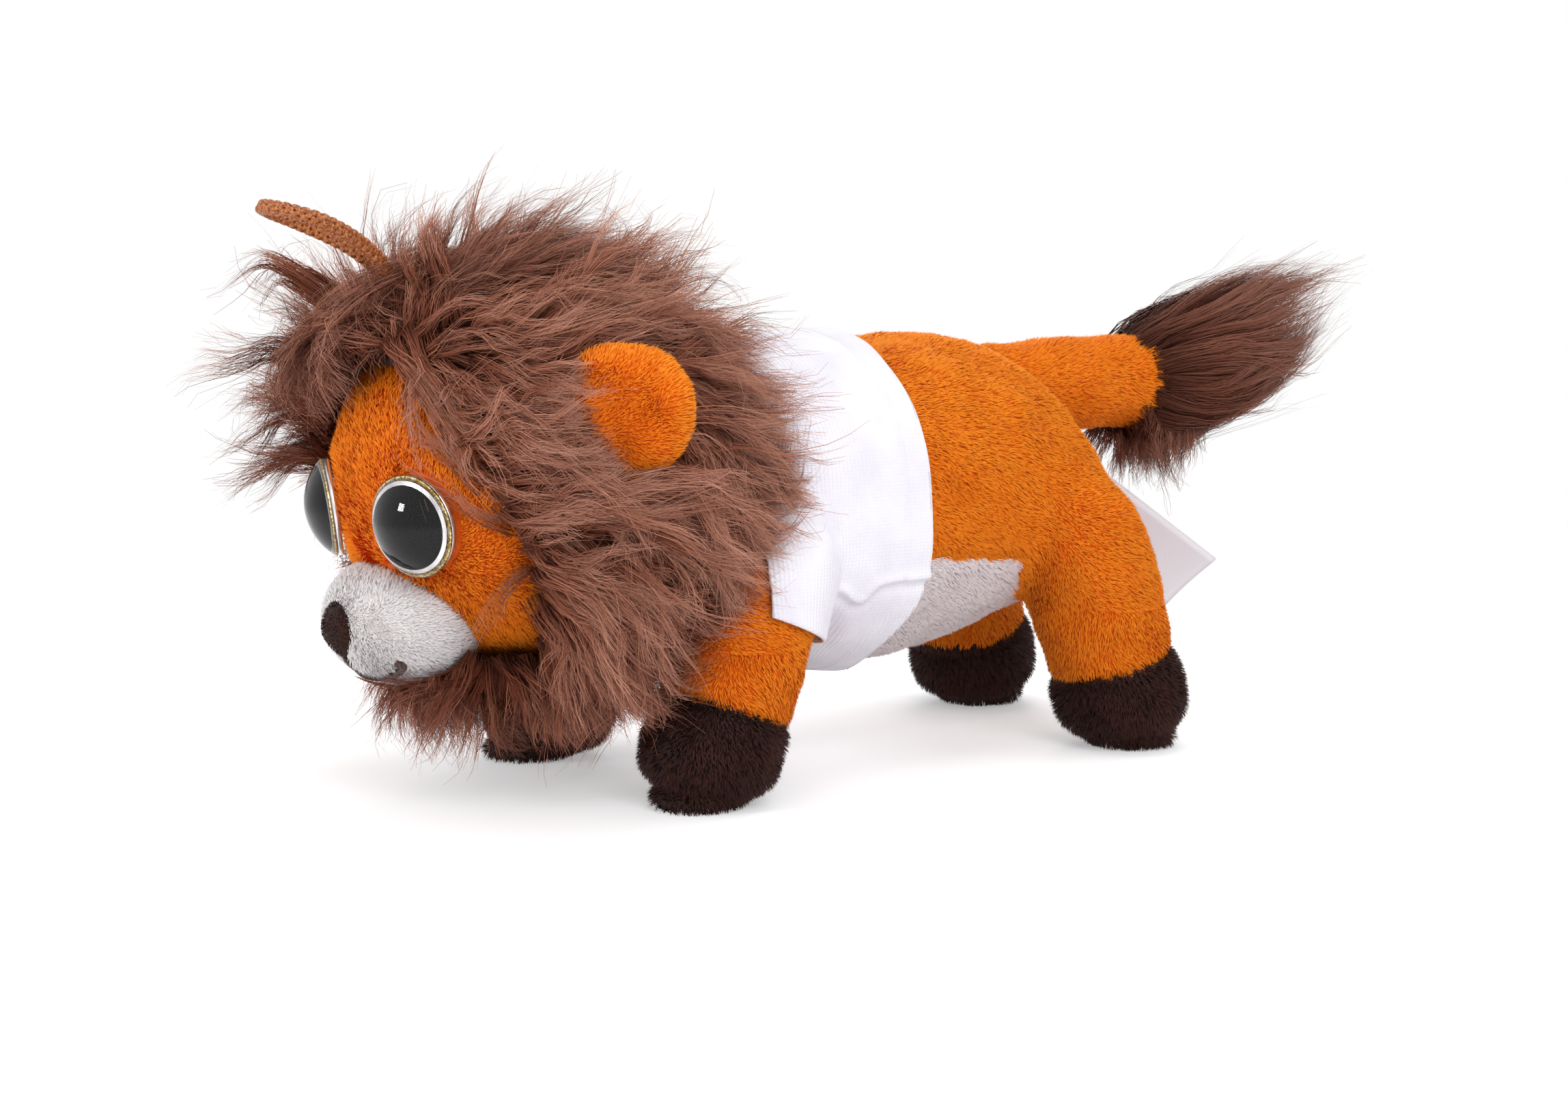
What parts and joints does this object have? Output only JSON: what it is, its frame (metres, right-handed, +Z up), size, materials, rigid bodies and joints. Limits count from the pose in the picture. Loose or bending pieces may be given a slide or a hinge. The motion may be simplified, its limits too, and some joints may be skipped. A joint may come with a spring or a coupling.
{
  "type": "plush lion",
  "caption": "Small standing plush lion with a long-pile mane and tail tuft, clear domed eyes, a T-shirt, a sewn label and a cord loop on its crown.",
  "frame": {"origin": "middle of the box round the toy without its hanging loop, on the plane that the paws stand on", "axes": "+Z up, +Y from the nose to the tail tuft, so the lion looks along -Y, and +X to the lion's left"},
  "size_m": [0.0806, 0.1988, 0.0843],
  "materials": {
    "orange_plush": "short dense orange pile, soft sheen",
    "white_plush": "short off-white pile",
    "brown_plush": "short dark brown pile",
    "long_pile": "long brown faux fur with paler tips",
    "jersey": "white knitted jersey with fine wales",
    "stuffing": "white polyester fibre",
    "nose_cloth": "dark brown short-pile cloth",
    "thread": "dark brown embroidery thread",
    "ribbon": "bare white satin ribbon",
    "cord": "braided copper-brown cord",
    "eye_lens": "clear polished dome",
    "eye_print": "black pupil in a silver-white ring with a gold glitter rim",
    "eye_washer": "moulded natural plastic"
  },
  "bodies": {
    "torso": {"body_skin": "orange_plush", "belly_panel": "white_plush", "body_stuffing": "stuffing", "t_shirt": "jersey"},
    "neck": {"neck_stuffing": "stuffing"},
    "head": {"head_skin": "orange_plush", "head_stuffing": "stuffing", "muzzle": "white_plush", "nose": "nose_cloth", "mouth_stitch": "thread", "lip_stitch": "thread", "mane": "long_pile", "eye_lens_left": "eye_lens", "eye_lens_right": "eye_lens", "eye_back_left": "eye_print", "eye_back_right": "eye_print", "eye_washer_left": "eye_washer", "eye_washer_right": "eye_washer"},
    "left_ear": {"ear_left": "orange_plush"},
    "right_ear": {"ear_right": "orange_plush"},
    "left_fore_leg": {"leg_fore_left": "orange_plush", "paw_fore_left": "brown_plush", "leg_stuffing_fore_left": "stuffing"},
    "right_fore_leg": {"leg_fore_right": "orange_plush", "paw_fore_right": "brown_plush", "leg_stuffing_fore_right": "stuffing"},
    "left_hind_leg": {"leg_hind_left": "orange_plush", "paw_hind_left": "brown_plush", "leg_stuffing_hind_left": "stuffing"},
    "right_hind_leg": {"leg_hind_right": "orange_plush", "paw_hind_right": "brown_plush", "leg_stuffing_hind_right": "stuffing"},
    "tail_root": {"tail_root_stuffing": "stuffing"},
    "tail": {"tail_skin": "orange_plush", "tail_stuffing": "stuffing", "tail_tuft": "long_pile"},
    "label": {"sewn_label": "ribbon"},
    "loop": {"hanging_loop": "cord"}
  },
  "joints": [
    {"name": "head_turn", "type": "hinge", "parent": "torso", "child": "neck", "pos_m": [0, -0.042, 0.046], "axis": [0, 0, 1], "range_deg": [-8, 8], "stiffness_Nm_per_rad": 0.3, "deforming": ["mane"]},
    {"name": "head_nod", "type": "hinge", "parent": "neck", "child": "head", "pos_m": [0, -0.042, 0.046], "axis": [1, 0, 0], "range_deg": [-5, 5], "stiffness_Nm_per_rad": 0.3, "deforming": ["mane"]},
    {"name": "ear_flap_left", "type": "hinge", "parent": "head", "child": "left_ear", "pos_m": [0.02685, -0.06198, 0.05613], "axis": [-0.3755, -0.1293, 0.9178], "range_deg": [-15, 15], "stiffness_Nm_per_rad": 0.01, "deforming": ["mane"]},
    {"name": "ear_flap_right", "type": "hinge", "parent": "head", "child": "right_ear", "pos_m": [-0.02685, -0.06198, 0.05613], "axis": [-0.3755, 0.1293, -0.9178], "range_deg": [-15, 15], "stiffness_Nm_per_rad": 0.01, "deforming": ["mane"]},
    {"name": "leg_swing_fore_left", "type": "hinge", "parent": "torso", "child": "left_fore_leg", "pos_m": [0.0195, -0.0355, 0.032], "axis": [1, 0, 0], "range_deg": [-10, 10], "stiffness_Nm_per_rad": 0.2, "deforming": ["mane"]},
    {"name": "leg_swing_fore_right", "type": "hinge", "parent": "torso", "child": "right_fore_leg", "pos_m": [-0.0195, -0.0355, 0.032], "axis": [1, 0, 0], "range_deg": [-10, 10], "stiffness_Nm_per_rad": 0.2, "deforming": ["mane"]},
    {"name": "leg_swing_hind_left", "type": "hinge", "parent": "torso", "child": "left_hind_leg", "pos_m": [0.0175, 0.0235, 0.0315], "axis": [1, 0, 0], "range_deg": [-10, 10], "stiffness_Nm_per_rad": 0.2},
    {"name": "leg_swing_hind_right", "type": "hinge", "parent": "torso", "child": "right_hind_leg", "pos_m": [-0.0175, 0.0235, 0.0315], "axis": [1, 0, 0], "range_deg": [-10, 10], "stiffness_Nm_per_rad": 0.2},
    {"name": "tail_wag", "type": "hinge", "parent": "torso", "child": "tail_root", "pos_m": [0, 0.02, 0.054], "axis": [0, 0, 1], "range_deg": [-12, 12], "stiffness_Nm_per_rad": 0.2},
    {"name": "tail_lift", "type": "hinge", "parent": "tail_root", "child": "tail", "pos_m": [0, 0.02, 0.054], "axis": [1, 0, 0], "range_deg": [-4, 15], "stiffness_Nm_per_rad": 0.2},
    {"name": "label_flap", "type": "hinge", "parent": "torso", "child": "label", "pos_m": [-0.0042, 0.0363, 0.0382], "axis": [-0.5206, -0.031, -0.8532], "range_deg": [-10, 10], "stiffness_Nm_per_rad": 0.002},
    {"name": "loop_swing", "type": "hinge", "parent": "head", "child": "loop", "pos_m": [0, -0.0832, 0.07235], "axis": [1, 0, 0], "range_deg": [-35, 8], "stiffness_Nm_per_rad": 0.004, "deforming": ["mane"]}
  ]
}
